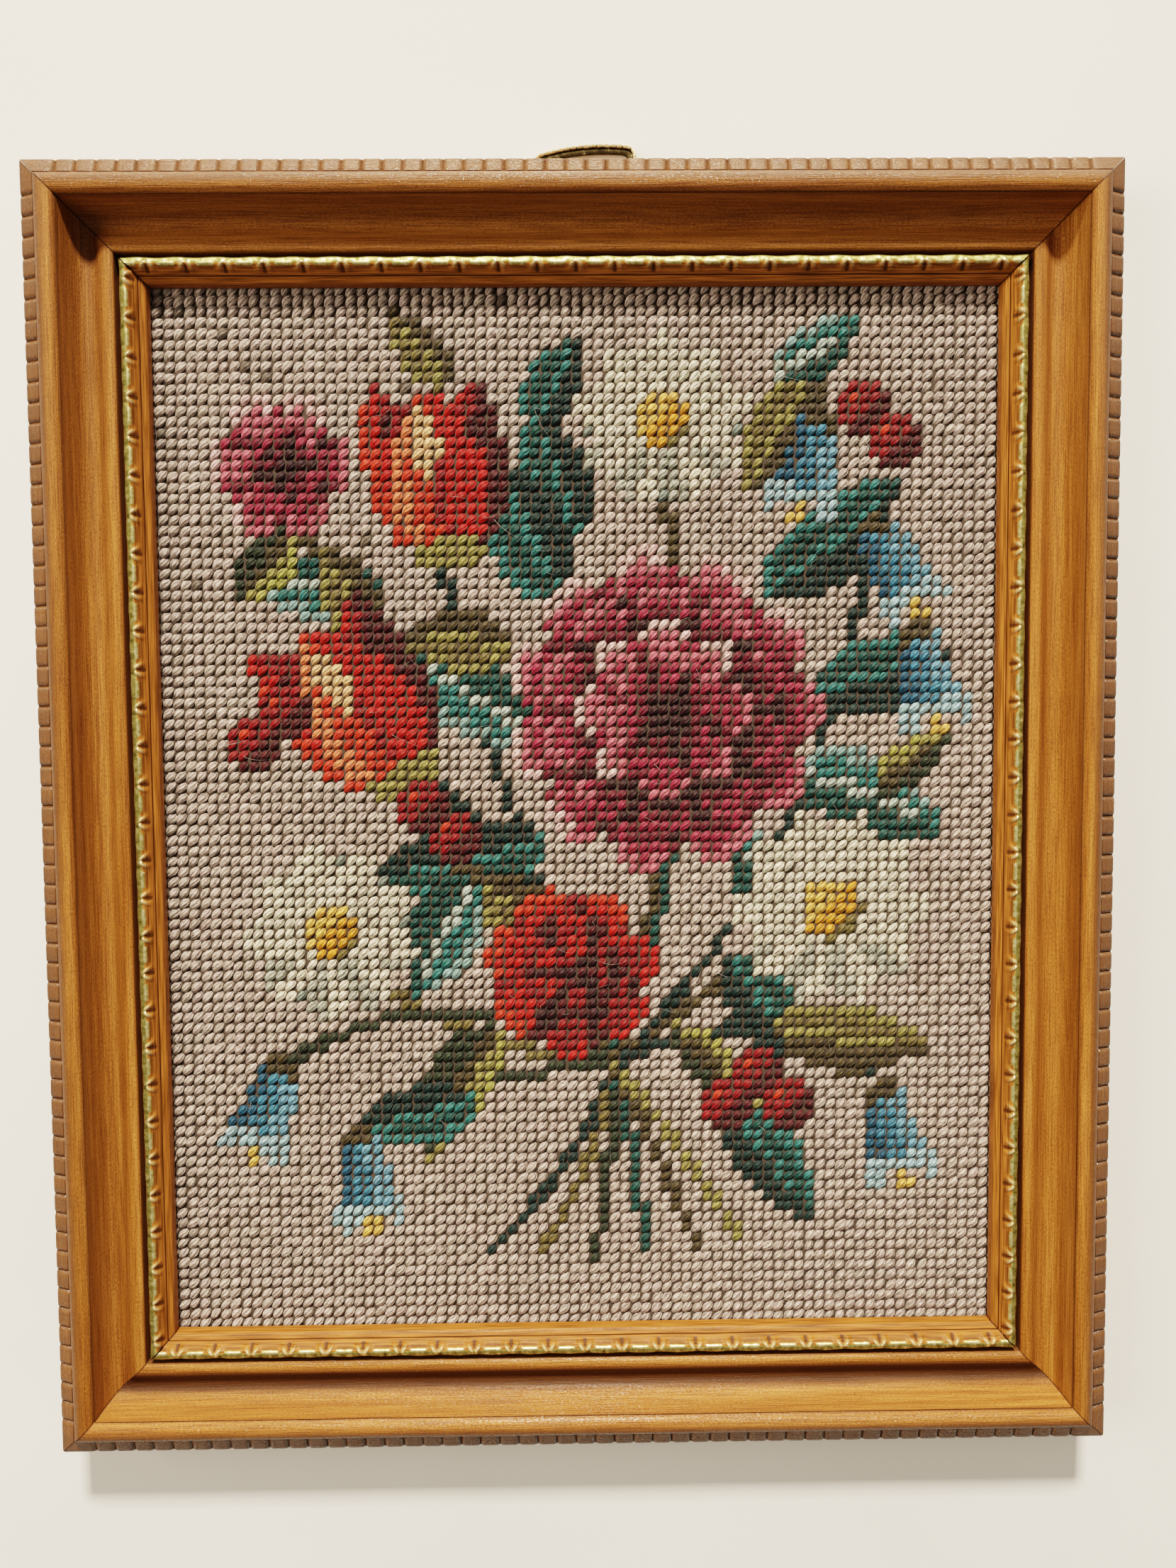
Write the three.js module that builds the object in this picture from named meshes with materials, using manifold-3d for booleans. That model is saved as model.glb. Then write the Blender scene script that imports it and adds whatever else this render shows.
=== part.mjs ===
// Needlepoint canvas panel in its picture frame, lying on its back with the stitched face up.
// Millimetres. +X is the picture's right, +Y its top, +Z comes out of its face, and z = 0 is the
// plane of the frame's back. Four mitred scoop rails carry four gilded inner slips, the stitched
// canvas is trapped behind the slips, and a brass ring hangs from a strap let into the top rail.
import * as THREE from "three";
import { mergeGeometries, mergeVertices } from "three/addons/utils/BufferGeometryUtils.js";
import Module from "manifold-3d";

const wasm = await Module();
wasm.setup();

// Driving dimensions.
const FRAME_W = 251; // outside of the frame, side to side
const FRAME_H = 301.6; // outside of the frame, top to bottom
const RING_REACH = 9.1; // how far the ring stands out past the top rail, before it is swung
const GAP = 0.3; // air between neighbouring pieces
const CORNER_R = 1.3; // rounding of the frame's outer corners

// The rail's section, as distances in from the outer edge and heights above the back.
const SIDE_TOP = 15.1; // plain outer side, up to the rounded arris
const STRIP_IN = 0.7; // the notched strip starts inside the arris
const STRIP_OUT = 3.9;
const STRIP_Z = [15.9, 17.3];
const CREST = [6.1, 19.5]; // top of the rounded shoulder
const QUIRK_AT = 8.8; // fine incised line between the shoulder and the cove
const QUIRK_Z = 18.2;
const QUIRK_DEPTH = 0.5;
const COVE_FLOOR = [12.8, 8.7]; // lowest point of the cove
const LIP_TOP = [17.2, 11]; // the cove rises to a rounded lip beside the slip
const RAIL_IN = 18.8; // inner edge of the rail's lip
const LIP_Z = 10.1;
const REBATE_IN = 14.3; // wall of the rebate at the back
const REBATE_Z = 7.3; // underside of the lip

// The slip's section, in the same measures.
const SLIP_FLANGE_Z = 7;
const SLIP_BACK_Z = 5.3;
const GILT_OUT = 20.1; // gilded edge, beside the open groove along the rail
const GILT_CREST = [21.2, 11.5];
const GILT_IN = [22.3, 11];
const LINE_AT = [23.8, 9.1]; // thin line between the embossed slope and the sight fillet
const LINE_DEPTH = 0.35;
const SIGHT = [25.3, 8.2];

// Notches cut across the outer strip.
const NOTCH_PITCH = 4.6;
const NOTCH_WIDTH = 1;
const NOTCH_DEPTH = 0.55;

// The stitched canvas.
const CANVAS_THICK = 3;
const CANVAS_TOP = SLIP_BACK_Z - GAP;
const CANVAS_WAVE = 0.22; // how far the face pulls in and out of true
const CANVAS_HELD = 12; // width of the margin that the slips press flat
const CANVAS_FREE = 37; // distance in from the sheet's edge where the waves reach full height
const CANVAS_WAVES = [
  { share: 0.6, across: 195, up: 270 }, // lengths in mm
  { share: 0.4, across: -145, up: 145 },
];
const CANVAS_CELLS = [16, 20];

// The hanging ring: a flat brass band with an arched top, swung a little to the right.
const RING_W = 25;
const RING_H = 15.4;
const RING_BAND = 2.4;
const RING_THICK = 1.6;
const RING_ARCH_R = 54;
const RING_CORNER_R = 3;
const RING_SWING = 5.3; // degrees
const RING_X = 3.2; // right of the frame's middle

// The folded strap that holds the ring, its nail, and the pocket in the top rail's back.
const STRAP_W = 8;
const STRAP_SHEET = 0.5;
const STRAP_LOOP_Y = 5.2; // outside of the fold, along Y
const STRAP_TAIL = 4.6;
const STRAP_LIFT = 0.1; // clear of the surface below
const POCKET_W = 30;
const POCKET_END = 0.6; // the pocket runs on past the strap's tail
const NAIL_R = 0.8;
const NAIL_HEAD_R = 1.7;
const NAIL_HEAD = 0.7;
const NAIL_LENGTH = 7;

// Heights in the pocket, from the strap's lower sheet up.
const RING_Z = STRAP_LIFT + STRAP_SHEET + GAP;
const STRAP_TOP = RING_Z + RING_THICK + GAP + STRAP_SHEET;
const POCKET_DEPTH = STRAP_TOP + GAP;
const NAIL_FOOT = STRAP_TOP - STRAP_SHEET - GAP - NAIL_HEAD; // underside of the nail's head

const WOOD = { color: 0x8a4f22, roughness: 0.45, metalness: 0 };
const SLIP_WOOD = { color: 0x9c7a3c, roughness: 0.4, metalness: 0.3 };
const WOOL = { color: 0xb3a79d, roughness: 0.95, metalness: 0 };
const BRASS = { color: 0xa9863e, roughness: 0.35, metalness: 0.9 };

// A geometry reduced to shared positions.
function merged(geometry) {
  const g = geometry.index ? geometry.toNonIndexed() : geometry.clone();
  g.deleteAttribute("normal");
  g.deleteAttribute("uv");
  return mergeVertices(g, 1e-4);
}

// The closed geometry as a solid that can be cut and joined.
function solid(geometry) {
  const g = merged(geometry);
  return new wasm.Manifold(
    new wasm.Mesh({
      numProp: 3,
      vertProperties: new Float32Array(g.attributes.position.array),
      triVerts: new Uint32Array(g.index.array),
    }),
  );
}

// The solid's surface as a geometry again.
function surface(made) {
  const mesh = made.getMesh();
  const g = new THREE.BufferGeometry();
  g.setAttribute("position", new THREE.BufferAttribute(mesh.vertProperties, 3));
  g.setIndex(new THREE.BufferAttribute(mesh.triVerts, 1));
  return g;
}

function named(name, geometry, look) {
  geometry.computeVertexNormals();
  const mesh = new THREE.Mesh(geometry, new THREE.MeshStandardMaterial(look));
  mesh.name = name;
  return mesh;
}

// A section drawn as (distance in, height), drawn out along X and centred.
// The rail's own frame is X along it, Y from the outer edge inwards, Z up.
function drawnOut(section, length) {
  const g = new THREE.ExtrudeGeometry(section, { depth: length, bevelEnabled: false, curveSegments: 9 });
  g.translate(0, 0, -length / 2);
  g.applyMatrix4(new THREE.Matrix4().set(0, 0, 1, 0, 1, 0, 0, 0, 0, 1, 0, 0, 0, 0, 0, 1));
  return g;
}

// Scoop moulding: notched strip, rounded shoulder, quirk, cove, rounded lip, and a rebate behind.
function railSection() {
  const s = new THREE.Shape();
  s.moveTo(0, 0);
  s.lineTo(0, SIDE_TOP);
  s.lineTo(0.25 * STRIP_IN, STRIP_Z[0] - 0.2);
  s.lineTo(STRIP_IN, STRIP_Z[0]);
  s.lineTo(STRIP_OUT, STRIP_Z[1]);
  s.quadraticCurveTo(STRIP_OUT + 0.2, CREST[1] - 0.1, CREST[0], CREST[1]);
  s.quadraticCurveTo(QUIRK_AT - 0.9, CREST[1], QUIRK_AT - 0.2, QUIRK_Z);
  s.lineTo(QUIRK_AT, QUIRK_Z - QUIRK_DEPTH);
  s.lineTo(QUIRK_AT + 0.2, QUIRK_Z);
  s.bezierCurveTo(QUIRK_AT + 0.5, QUIRK_Z - 4.6, COVE_FLOOR[0] - 2.8, COVE_FLOOR[1], ...COVE_FLOOR);
  s.bezierCurveTo(COVE_FLOOR[0] + 1.8, COVE_FLOOR[1], LIP_TOP[0] - 1.8, LIP_TOP[1], ...LIP_TOP);
  s.quadraticCurveTo(RAIL_IN - 0.1, LIP_TOP[1], RAIL_IN, LIP_Z);
  s.lineTo(RAIL_IN, REBATE_Z);
  s.lineTo(REBATE_IN, REBATE_Z);
  s.lineTo(REBATE_IN, 0);
  s.closePath();
  return s;
}

// Slip: a flange in the rail's rebate, a gilded round, an embossed slope and the sight fillet.
function slipSection() {
  const s = new THREE.Shape();
  s.moveTo(REBATE_IN + GAP, SLIP_BACK_Z);
  s.lineTo(REBATE_IN + GAP, SLIP_FLANGE_Z);
  s.lineTo(GILT_OUT, SLIP_FLANGE_Z);
  s.lineTo(GILT_OUT, GILT_CREST[1] - 0.8);
  s.quadraticCurveTo(GILT_OUT + 0.1, GILT_CREST[1], ...GILT_CREST);
  s.quadraticCurveTo(GILT_IN[0] - 0.2, GILT_CREST[1], ...GILT_IN);
  s.lineTo(LINE_AT[0] - 0.15, LINE_AT[1]);
  s.lineTo(LINE_AT[0], LINE_AT[1] - LINE_DEPTH);
  s.lineTo(LINE_AT[0] + 0.15, LINE_AT[1]);
  s.lineTo(SIGHT[0] - 0.4, SIGHT[1] + 0.2);
  s.lineTo(SIGHT[0], SIGHT[1] - 0.2);
  s.lineTo(SIGHT[0], SLIP_BACK_Z);
  s.closePath();
  return s;
}

// Seen from above, a mitred length: its outer edge with half of each rounded corner, and ends
// at 45 degrees that stand half a gap back from the true mitre.
function mitredPlan(length) {
  const half = length / 2;
  const back = (GAP / 2) * Math.SQRT2;
  const inner = SIGHT[0] + 2;
  const s = new THREE.Shape();
  const corner = CORNER_R * (1 - Math.SQRT1_2);
  s.moveTo(-half + corner + back, corner);
  s.absarc(-half + CORNER_R + back, CORNER_R, CORNER_R, -0.75 * Math.PI, -0.5 * Math.PI, false);
  s.absarc(half - CORNER_R - back, CORNER_R, CORNER_R, -0.5 * Math.PI, -0.25 * Math.PI, false);
  s.lineTo(half - inner - back, inner);
  s.lineTo(-half + inner + back, inner);
  s.closePath();
  const depth = CREST[1] + 2;
  return new THREE.ExtrudeGeometry(s, { depth, bevelEnabled: false, curveSegments: 4 }).translate(0, 0, -1);
}

// All the grooves of one rail: V-shaped bars laid across the strip, on its slope.
function notches(length) {
  const count = Math.floor((length - 2 * STRIP_OUT) / NOTCH_PITCH);
  const slope = Math.atan2(STRIP_Z[1] - STRIP_Z[0], STRIP_OUT - STRIP_IN);
  const vee = new THREE.Shape();
  vee.moveTo(-NOTCH_WIDTH, NOTCH_DEPTH);
  vee.lineTo(0, -NOTCH_DEPTH);
  vee.lineTo(NOTCH_WIDTH, NOTCH_DEPTH);
  vee.closePath();
  const bars = [];
  for (let i = 0; i < count; i++) {
    const bar = new THREE.ExtrudeGeometry(vee, { depth: STRIP_OUT + 1, bevelEnabled: false });
    bar.rotateX(Math.PI / 2 + slope);
    bar.translate((i - (count - 1) / 2) * NOTCH_PITCH, STRIP_OUT, STRIP_Z[1]);
    bars.push(merged(bar));
  }
  return mergeGeometries(bars);
}

// The pocket in the top rail's back, open at the outer side, and the hole for the nail.
function pocket() {
  const length = strapEnd() + POCKET_END;
  const box = new THREE.BoxGeometry(POCKET_W, length + 1, POCKET_DEPTH + 1);
  box.translate(RING_X, (length - 1) / 2, (POCKET_DEPTH - 1) / 2);
  const depth = NAIL_FOOT + NAIL_LENGTH + GAP;
  const hole = new THREE.CylinderGeometry(NAIL_R + GAP, NAIL_R + GAP, depth, 16);
  hole.rotateX(Math.PI / 2).translate(RING_X, nailAt(), depth / 2);
  return solid(box).add(solid(hole));
}

// One rail of a given outer length, in its own frame.
function rail(length) {
  const bar = solid(drawnOut(railSection(), length));
  return bar.intersect(solid(mitredPlan(length))).subtract(solid(notches(length)));
}

function slip(length) {
  return solid(drawnOut(slipSection(), length)).intersect(solid(mitredPlan(length)));
}

// How far the canvas face stands out of true at (x, y): slow waves, still at the margin.
function canvasRise(x, y, halfW, halfH) {
  const edge = Math.min(halfW - Math.abs(x), halfH - Math.abs(y));
  const free = THREE.MathUtils.smoothstep(edge, CANVAS_HELD, CANVAS_FREE);
  const wave = CANVAS_WAVES.map((w) => w.share * Math.sin(2 * Math.PI * (x / w.across + y / w.up)));
  return free * CANVAS_WAVE * wave.reduce((sum, part) => sum + part, 0);
}

// The stitched canvas: a stiff sheet with a slightly uneven face and back.
function canvasPanel() {
  const w = FRAME_W - 2 * (REBATE_IN + GAP);
  const h = FRAME_H - 2 * (REBATE_IN + GAP);
  const g = merged(new THREE.BoxGeometry(w, h, CANVAS_THICK, ...CANVAS_CELLS, 1));
  const p = g.attributes.position;
  for (let i = 0; i < p.count; i++) {
    p.setZ(i, p.getZ(i) + canvasRise(p.getX(i), p.getY(i), w / 2, h / 2));
  }
  return g.translate(0, 0, CANVAS_TOP - CANVAS_THICK / 2);
}

// Outline of the ring, its inner edge set in from the outer one by the band's width.
// The arch meets both sides in rounded corners, and the foot is the straight bar in the strap.
function ringOutline(inset, Outline) {
  const half = RING_W / 2 - inset;
  const top = RING_H - inset;
  const r = Math.max(RING_CORNER_R - inset, 1);
  const archR = RING_ARCH_R - inset;
  const shoulder = top - archR + Math.sqrt(archR ** 2 - (half - r) ** 2);
  const s = new Outline();
  s.moveTo(-half + r, inset);
  s.lineTo(half - r, inset);
  s.quadraticCurveTo(half, inset, half, inset + r);
  s.lineTo(half, shoulder - r);
  s.quadraticCurveTo(half, shoulder - 0.3, half - r, shoulder);
  s.quadraticCurveTo(0, 2 * top - shoulder, -half + r, shoulder);
  s.quadraticCurveTo(-half, shoulder - 0.3, -half, shoulder - r);
  s.lineTo(-half, inset + r);
  s.quadraticCurveTo(-half, inset, -half + r, inset);
  return s;
}

// The ring in the top rail's frame is swung about the middle of its foot bar.
function hangerRing() {
  const shape = ringOutline(0, THREE.Shape);
  shape.holes.push(ringOutline(RING_BAND, THREE.Path));
  const g = new THREE.ExtrudeGeometry(shape, {
    depth: RING_THICK - 0.6,
    bevelSize: 0.3,
    bevelThickness: 0.3,
    bevelOffset: -0.3,
    bevelSegments: 1,
    curveSegments: 8,
  });
  g.translate(0, -RING_BAND / 2, 0.3);
  g.rotateZ(THREE.MathUtils.degToRad(RING_SWING));
  return g.translate(RING_X, FRAME_H / 2 + footAt(), RING_Z);
}

// Where the middle of the ring's foot bar lies, measured outwards from the top rail's edge.
function footAt() {
  return RING_REACH - (RING_H - RING_BAND / 2);
}

// Distances in from the top rail's edge of the strap's tail end and of its nail.
function strapEnd() {
  return -footAt() + STRAP_LOOP_Y / 2 + STRAP_TAIL;
}

function nailAt() {
  return strapEnd() - STRAP_TAIL / 2;
}

// A sheet folded round the ring's foot bar, its tail flat against the pocket's floor.
// The section lies in the plane across the strap: distance in from the rail's edge, then height.
function hangerStrap() {
  const start = -footAt() - STRAP_LOOP_Y / 2;
  const end = start + STRAP_LOOP_Y;
  const r = (STRAP_TOP - STRAP_LIFT) / 2;
  const middle = STRAP_LIFT + r;
  const s = new THREE.Shape();
  s.moveTo(end - r, STRAP_LIFT);
  s.lineTo(start + r, STRAP_LIFT);
  s.absarc(start + r, middle, r, -Math.PI / 2, Math.PI / 2, true);
  s.lineTo(strapEnd(), STRAP_TOP);
  s.lineTo(strapEnd(), STRAP_TOP - STRAP_SHEET);
  s.lineTo(end, STRAP_TOP - STRAP_SHEET);
  s.quadraticCurveTo(end, STRAP_LIFT, end - r, STRAP_LIFT);
  const hole = new THREE.Path();
  const inner = r - STRAP_SHEET;
  hole.moveTo(start + r, STRAP_LIFT + STRAP_SHEET);
  hole.lineTo(end - r + 0.3, STRAP_LIFT + STRAP_SHEET);
  hole.quadraticCurveTo(end - STRAP_SHEET, STRAP_LIFT + STRAP_SHEET, end - STRAP_SHEET, middle);
  hole.lineTo(end - STRAP_SHEET, STRAP_TOP - STRAP_SHEET);
  hole.lineTo(start + r, STRAP_TOP - STRAP_SHEET);
  hole.absarc(start + r, middle, inner, Math.PI / 2, -Math.PI / 2, false);
  s.holes.push(hole);
  const strap = solid(drawnOut(s, STRAP_W).translate(RING_X, 0, 0));
  const nailHole = new THREE.CylinderGeometry(NAIL_R + GAP, NAIL_R + GAP, 3, 16);
  nailHole.rotateX(Math.PI / 2).translate(RING_X, nailAt(), STRAP_TOP);
  return strap.subtract(solid(nailHole));
}

// Nail up through the strap's tail into the rail: a flat head and a pointed shank.
function hangerNail() {
  const profile = [
    [0, 0],
    [NAIL_HEAD_R, 0],
    [NAIL_HEAD_R, NAIL_HEAD],
    [NAIL_R, NAIL_HEAD],
    [NAIL_R, NAIL_LENGTH - 1.5],
    [0, NAIL_LENGTH],
  ].map(([r, z]) => new THREE.Vector2(r, z));
  const g = new THREE.LatheGeometry(profile, 16);
  return g.rotateX(Math.PI / 2).translate(RING_X, nailAt(), NAIL_FOOT);
}

// Turns a piece made in a rail's own frame to its side of the frame.
// side 0 is the top, then left, bottom and right.
function onSide(mesh, side) {
  const reach = side % 2 ? FRAME_W / 2 : FRAME_H / 2;
  const holder = new THREE.Group();
  holder.rotation.z = (side * Math.PI) / 2;
  mesh.scale.set(1, -1, 1);
  mesh.position.y = reach;
  holder.add(mesh);
  return holder;
}

const SIDES = ["top", "left", "bottom", "right"];

const panel = new THREE.Group();
SIDES.forEach((side, i) => {
  const length = i % 2 ? FRAME_H : FRAME_W;
  const wood = i === 0 ? rail(length).subtract(pocket()) : rail(length);
  panel.add(onSide(named("rail_" + side, surface(wood), WOOD), i));
  panel.add(onSide(named("slip_" + side, surface(slip(length)), SLIP_WOOD), i));
});
panel.add(named("canvas_panel", canvasPanel(), WOOL));
panel.add(named("hanger_ring", merged(hangerRing()), BRASS));
panel.add(onSide(named("hanger_strap", surface(hangerStrap()), BRASS), 0));
panel.add(onSide(named("hanger_nail", merged(hangerNail()), BRASS), 0));

// The origin lies under the middle of the whole piece, ring included.
const reach = new THREE.Box3().setFromObject(panel, true);
panel.position.y = -(reach.min.y + reach.max.y) / 2;
const part = new THREE.Group();
part.add(panel);

export default part;
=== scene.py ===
# Needlepoint canvas panel in its picture frame, lying on its back with the stitched face up: a
# bouquet worked in tapestry wool, held behind embossed gilt slips in four stained scoop rails,
# with a brass hanging ring let into the top rail's back.
import math

import bmesh
import bpy
import numpy as np
from mathutils import Matrix, Vector


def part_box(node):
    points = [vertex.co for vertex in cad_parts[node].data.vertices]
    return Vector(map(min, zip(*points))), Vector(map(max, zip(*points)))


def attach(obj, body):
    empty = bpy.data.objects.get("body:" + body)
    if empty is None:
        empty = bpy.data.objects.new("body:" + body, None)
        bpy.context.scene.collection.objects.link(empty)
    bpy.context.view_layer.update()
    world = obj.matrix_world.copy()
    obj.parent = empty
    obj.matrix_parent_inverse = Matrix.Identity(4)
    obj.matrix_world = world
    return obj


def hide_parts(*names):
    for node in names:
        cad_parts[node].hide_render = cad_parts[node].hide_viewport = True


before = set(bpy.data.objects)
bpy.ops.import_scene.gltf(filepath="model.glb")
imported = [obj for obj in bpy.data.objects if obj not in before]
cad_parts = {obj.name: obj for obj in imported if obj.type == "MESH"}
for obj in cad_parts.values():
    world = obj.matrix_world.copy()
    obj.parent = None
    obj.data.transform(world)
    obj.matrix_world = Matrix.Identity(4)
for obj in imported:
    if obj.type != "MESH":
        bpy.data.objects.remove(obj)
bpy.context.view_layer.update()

# Camera, light and floor.
# The picture was taken from just above, nearly square to the stitched face. A window and a low warm
# lamp beyond the top rail light it, a large lamp at the left softens it without a reflection of its
# own, and a pale sky fills the shadows.


def linear(hex_colour):
    """An sRGB hex colour as linear RGBA: c / 12.92 in the toe, ((c + 0.055) / 1.055) ^ 2.4 above."""
    channels = np.array([int(hex_colour[k : k + 2], 16) for k in (1, 3, 5)]) / 255
    low = channels <= 0.04045
    return (*np.where(low, channels / 12.92, ((channels + 0.055) / 1.055) ** 2.4), 1)


def add(tree, kind, settings=(), inputs=(), stops=()):
    """Adds a node: settings are its own properties, each input takes a value or a link from an
    output, and stops are the places and colours of a ramp."""
    made = tree.nodes.new("ShaderNode" + kind)
    for key, value in dict(settings).items():
        setattr(made, key, value)
    for key, value in dict(inputs).items():
        if isinstance(value, bpy.types.NodeSocket):
            tree.links.new(value, made.inputs[key])
        else:
            made.inputs[key].default_value = value
    for k, (place, colour) in enumerate(stops):
        elements = made.color_ramp.elements
        stop = elements[k] if k < 2 else elements.new(place)
        stop.position, stop.color = place, linear(colour)
    return made


def new_material(name):
    """An empty material with its output, to which the shader is linked."""
    material = bpy.data.materials.new(name)
    material.use_nodes = True
    material.node_tree.nodes.clear()
    return material, material.node_tree


# The camera's axes, its place in m and its lens were fitted to the frame's corners and mouldings.
camera = bpy.data.objects.new("photo_camera", bpy.data.cameras.new("photo_camera"))
bpy.context.scene.collection.objects.link(camera)
right = (0.99988, -0.00792, 0.01326)
up = (0.00867, 0.99829, -0.05785)
back = (-0.01278, 0.05796, 0.99824)
turned = Matrix((right, up, back)).transposed().to_4x4()
camera.matrix_world = Matrix.Translation((-0.00189, 0.02036, 0.29814)) @ turned
camera.data.sensor_fit = "VERTICAL"
camera.data.sensor_height = 36
camera.data.lens = 27.86
camera.data.clip_start = 0.01
bpy.context.scene.camera = camera
# A film curve that keeps the golden browns of the wood as they are in strong light.
bpy.context.scene.view_settings.view_transform = "Filmic"
bpy.context.scene.view_settings.look = "Medium High Contrast"

# Each lamp's place and size are in m, and it faces the middle of the panel.
for name, place, size, watts, colour in (
    ("window", (0, 2.4, 1.8), (0.4, 0.28), 285, "#ffefd8"),
    ("shelf_lamp", (0, 2.2, 0.28), (0.5, 0.15), 48, "#ffdca6"),
    ("room", (-1.1, 0.2, 0.9), (0.8, 0.8), 21, "#ffefd8"),
):
    lamp = bpy.data.objects.new(name, bpy.data.lights.new(name, "AREA"))
    lamp.data.shape = "RECTANGLE"
    lamp.data.size, lamp.data.size_y = size
    lamp.data.energy = watts
    lamp.data.color = linear(colour)[:3]
    lamp.location = place
    lamp.visible_glossy = name != "room"
    lamp.rotation_euler = (-Vector(place)).to_track_quat("-Z", "Y").to_euler()
    bpy.context.scene.collection.objects.link(lamp)

sky = bpy.data.worlds.new("pale_studio")
sky.use_nodes = True
sky.node_tree.nodes["Background"].inputs["Color"].default_value = linear("#f3e6d2")
sky.node_tree.nodes["Background"].inputs["Strength"].default_value = 0.27
bpy.context.scene.world = sky

floor_mesh = bpy.data.meshes.new("floor")
floor_mesh.from_pydata([(-2, -2, 0), (2, -2, 0), (2, 2, 0), (-2, 2, 0)], [], [(0, 1, 2, 3)])
floor = bpy.data.objects.new("floor", floor_mesh)
bpy.context.scene.collection.objects.link(floor)

# Painted board: pale and matt, with a faint mottle as of a roller.
board, tree = new_material("pale_matt_board")
speckle = add(tree, "TexNoise", inputs={"Scale": 60, "Detail": 3})
tint = add(tree, "ValToRGB", inputs={0: speckle.outputs[0]}, stops=((0.3, "#d9d6d0"), (0.7, "#dedbd5")))
shader = add(tree, "BsdfPrincipled", inputs={"Base Color": tint.outputs[0], "Roughness": 0.9})
add(tree, "OutputMaterial", inputs={0: shader.outputs[0]})
floor_mesh.materials.append(board)

# Scoop rails.
# Four rails of stained and varnished softwood, run through a moulding cutter and mitred. From the
# outside in: a strip cut across into small blocks, a rounded shoulder, a fine quirk and a deep cove
# that rises to a rounded lip. The top rail's back has a shallow pocket for the hanging ring.

FRAME_SIZE = (251, 301.6)  # outside of the frame in mm, across and up
GAP = 0.06  # open joint at the mitres
CORNER_R = 1.3  # outer corners, eased with a rasp
SIDES = ("top", "left", "bottom", "right")
frame_y = 500 * (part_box("canvas_panel")[0][1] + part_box("canvas_panel")[1][1])  # middle of the frame, mm
chance = np.random.default_rng(41)


def bezier(controls, steps):
    """Points of a Bezier curve after its start: neighbouring controls are blended again and again
    by the share t until one point is left."""
    t = np.linspace(0, 1, steps + 1)[1:, None, None]
    points = np.array(controls, float)[None]
    while points.shape[1] > 1:
        points = (1 - t) * points[:, :-1] + t * points[:, 1:]
    return points[:, 0]


def to_side(x, inwards, z, side):
    """Points of a rail's own frame (along it, in from the outer edge, up) in the panel's frame:
    y is the frame's reach less the distance in, then a quarter turn for each side after the top."""
    reach = FRAME_SIZE[1 - side % 2] / 2
    x, y, z = np.broadcast_arrays(x, reach - inwards, z)
    c, s = round(math.cos(side * math.pi / 2)), round(math.sin(side * math.pi / 2))
    return np.stack([c * x - s * y, s * x + c * y + frame_y, z], -1)


def mitred(stations, inwards, length):
    """Where the stations of a length meet its mitres: x is held at half the length less the gap
    and the distance in, and the distance in keeps clear of the rounded outer corner. The third
    array is how far each point is from the joint."""
    end = length / 2 - GAP / 2 * math.sqrt(2)
    mitre = end - np.maximum(inwards, CORNER_R * (1 - math.sqrt(0.5)))
    x = np.clip(stations, -mitre, mitre)
    past = np.clip(np.abs(x) - (end - CORNER_R), 0, CORNER_R)
    return x, np.maximum(inwards, CORNER_R - np.sqrt(CORNER_R**2 - past**2)), mitre - np.abs(x)


def lofted(name, points, uv, closed=(False, True), **values):
    """A piece whose surface runs through points[i, j] in mm: station i along it, point j round its
    section. Each direction may close on itself, and open stations are capped. uv[i, j] is in mm,
    with one more row or column where a direction closes, and values are numbers for each point."""
    stations, around = points.shape[:2]
    i, j = np.indices((stations - (not closed[0]), around - (not closed[1])))
    corners = ((i, j), (i, j + 1), (i + 1, j + 1), (i + 1, j))
    faces = np.stack([a % stations * around + b % around for a, b in corners], -1).reshape(-1, 4)
    places = np.stack([uv[a, b] for a, b in corners], 2).reshape(-1, 2)
    faces = faces.tolist()
    if closed == (False, True):
        ring = np.arange(around)
        faces += [ring[::-1].tolist(), (ring + (stations - 1) * around).tolist()]
        places = np.vstack([places, uv[0, ring[::-1]], uv[-1, ring]])
    mesh = bpy.data.meshes.new(name)
    mesh.from_pydata(points.reshape(-1, 3) * 0.001, [], faces)
    mesh.uv_layers.new(name="UVMap").uv.foreach_set("vector", places.astype(np.float32).ravel())
    for key, value in values.items():
        layer = mesh.attributes.new(key, "FLOAT", "POINT")
        layer.data.foreach_set("value", value.astype(np.float32).ravel())
    work_mesh = bmesh.new()
    work_mesh.from_mesh(mesh)
    bmesh.ops.remove_doubles(work_mesh, verts=work_mesh.verts, dist=2e-6)
    work_mesh.to_mesh(mesh)
    work_mesh.free()
    mesh.shade_smooth()
    mesh.set_sharp_from_angle(angle=math.radians(38))
    piece = bpy.data.objects.new(name, mesh)
    bpy.context.scene.collection.objects.link(piece)
    return piece


def girth(section):
    """Distance round a section to each of its points and back to the first."""
    steps = np.linalg.norm(np.diff(section, axis=0, append=section[:1]), axis=1)
    return np.concatenate([[0], np.cumsum(steps)])


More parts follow.
